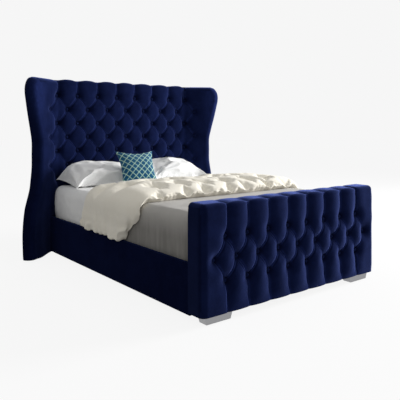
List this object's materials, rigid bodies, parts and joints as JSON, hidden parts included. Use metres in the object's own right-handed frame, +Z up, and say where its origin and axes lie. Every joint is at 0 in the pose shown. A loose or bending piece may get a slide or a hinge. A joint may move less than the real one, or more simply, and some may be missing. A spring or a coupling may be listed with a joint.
{
  "type": "wingback_bed",
  "caption": "Wingback bed in navy velvet, deep-buttoned headboard and footboard, slatted base, made up with mattress and bedding",
  "frame": {"origin": "On the floor, under the middle of the bed's overall box", "axes": "+X to the right seen from the foot, +Y from the foot to the head, +Z up"},
  "size_m": [2.1136, 2.27, 1.525],
  "materials": {
    "velvet": "deep navy crushed velvet with a pale sheen along its folds",
    "back_cloth": "plain black woven backing cloth",
    "timber": "planed pine, unfinished",
    "board": "plywood board, unfinished",
    "birch": "bent laminated birch, clear lacquer",
    "chrome": "bright polished chrome plate",
    "steel": "zinc-plated steel",
    "black_plastic": "black moulded plastic",
    "ticking": "white quilted ticking",
    "white_cotton": "plain white cotton",
    "grey_cotton": "soft warm grey woven throw",
    "cream_cotton": "cream pintucked cotton",
    "teal_trellis": "teal cotton with a pale lime trellis of diamonds"
  },
  "bodies": {
    "bed_frame": {"footboard_pad": "velvet", "footboard_buttons": "velvet", "footboard_facing_board": "board", "footboard_bottom_bar": "timber", "footboard_top_bar": "timber", "footboard_posts": "timber", "footboard_back_cover": "velvet", "chrome_foot_right": "chrome", "chrome_foot_left": "chrome", "foot_screws": "steel", "side_rail_board_right": "timber", "side_rail_board_left": "timber", "side_rail_cover_right": "velvet", "side_rail_cover_left": "velvet", "ledger_right": "timber", "ledger_left": "timber", "slats_right": "birch", "slats_left": "birch", "slat_holders": "black_plastic", "centre_rail": "timber", "centre_rail_hangers": "steel", "centre_legs": "timber", "leg_pads": "black_plastic", "corner_brackets_foot": "steel", "corner_brackets_head": "steel", "corner_bolts": "steel", "headboard_pad": "velvet", "headboard_buttons": "velvet", "headboard_facing_board": "board", "headboard_bottom_bar": "timber", "headboard_lower_bar": "timber", "headboard_middle_bar": "timber", "headboard_top_bar": "timber", "headboard_stiles": "timber", "headboard_post_right": "timber", "headboard_post_left": "timber", "headboard_lower_cover": "velvet", "headboard_back_cover": "back_cloth", "wing_pad_right": "velvet", "wing_pad_left": "velvet", "wing_board_right": "board", "wing_board_left": "board", "wing_back_cover_right": "velvet", "wing_back_cover_left": "velvet", "wing_cleat_right": "timber", "wing_cleat_left": "timber", "wing_bolts": "steel", "wing_glides": "black_plastic"},
    "mattress": {"mattress": "ticking", "fitted_sheet": "white_cotton"},
    "throw": {"throw": "grey_cotton"},
    "duvet": {"duvet": "cream_cotton"},
    "pillow_left": {"pillow_left": "white_cotton"},
    "pillow_right": {"pillow_right": "white_cotton"},
    "cushion": {"cushion": "teal_trellis"}
  },
  "joints": [
    {"name": "mattress_lift", "type": "slide", "parent": "bed_frame", "child": "mattress", "axis": [0, 0, 1], "range_m": [0, 0.3]},
    {"name": "throw_lift", "type": "slide", "parent": "mattress", "child": "throw", "axis": [0, 0, 1], "range_m": [0, 0.3]},
    {"name": "duvet_lift", "type": "slide", "parent": "throw", "child": "duvet", "axis": [0, 0, 1], "range_m": [0, 0.3]},
    {"name": "pillow_left_lift", "type": "slide", "parent": "mattress", "child": "pillow_left", "axis": [0, 0, 1], "range_m": [0, 0.3]},
    {"name": "pillow_right_lift", "type": "slide", "parent": "mattress", "child": "pillow_right", "axis": [0, 0, 1], "range_m": [0, 0.3]},
    {"name": "cushion_lift", "type": "slide", "parent": "pillow_left", "child": "cushion", "axis": [0, 0, 1], "range_m": [0, 0.3]}
  ]
}
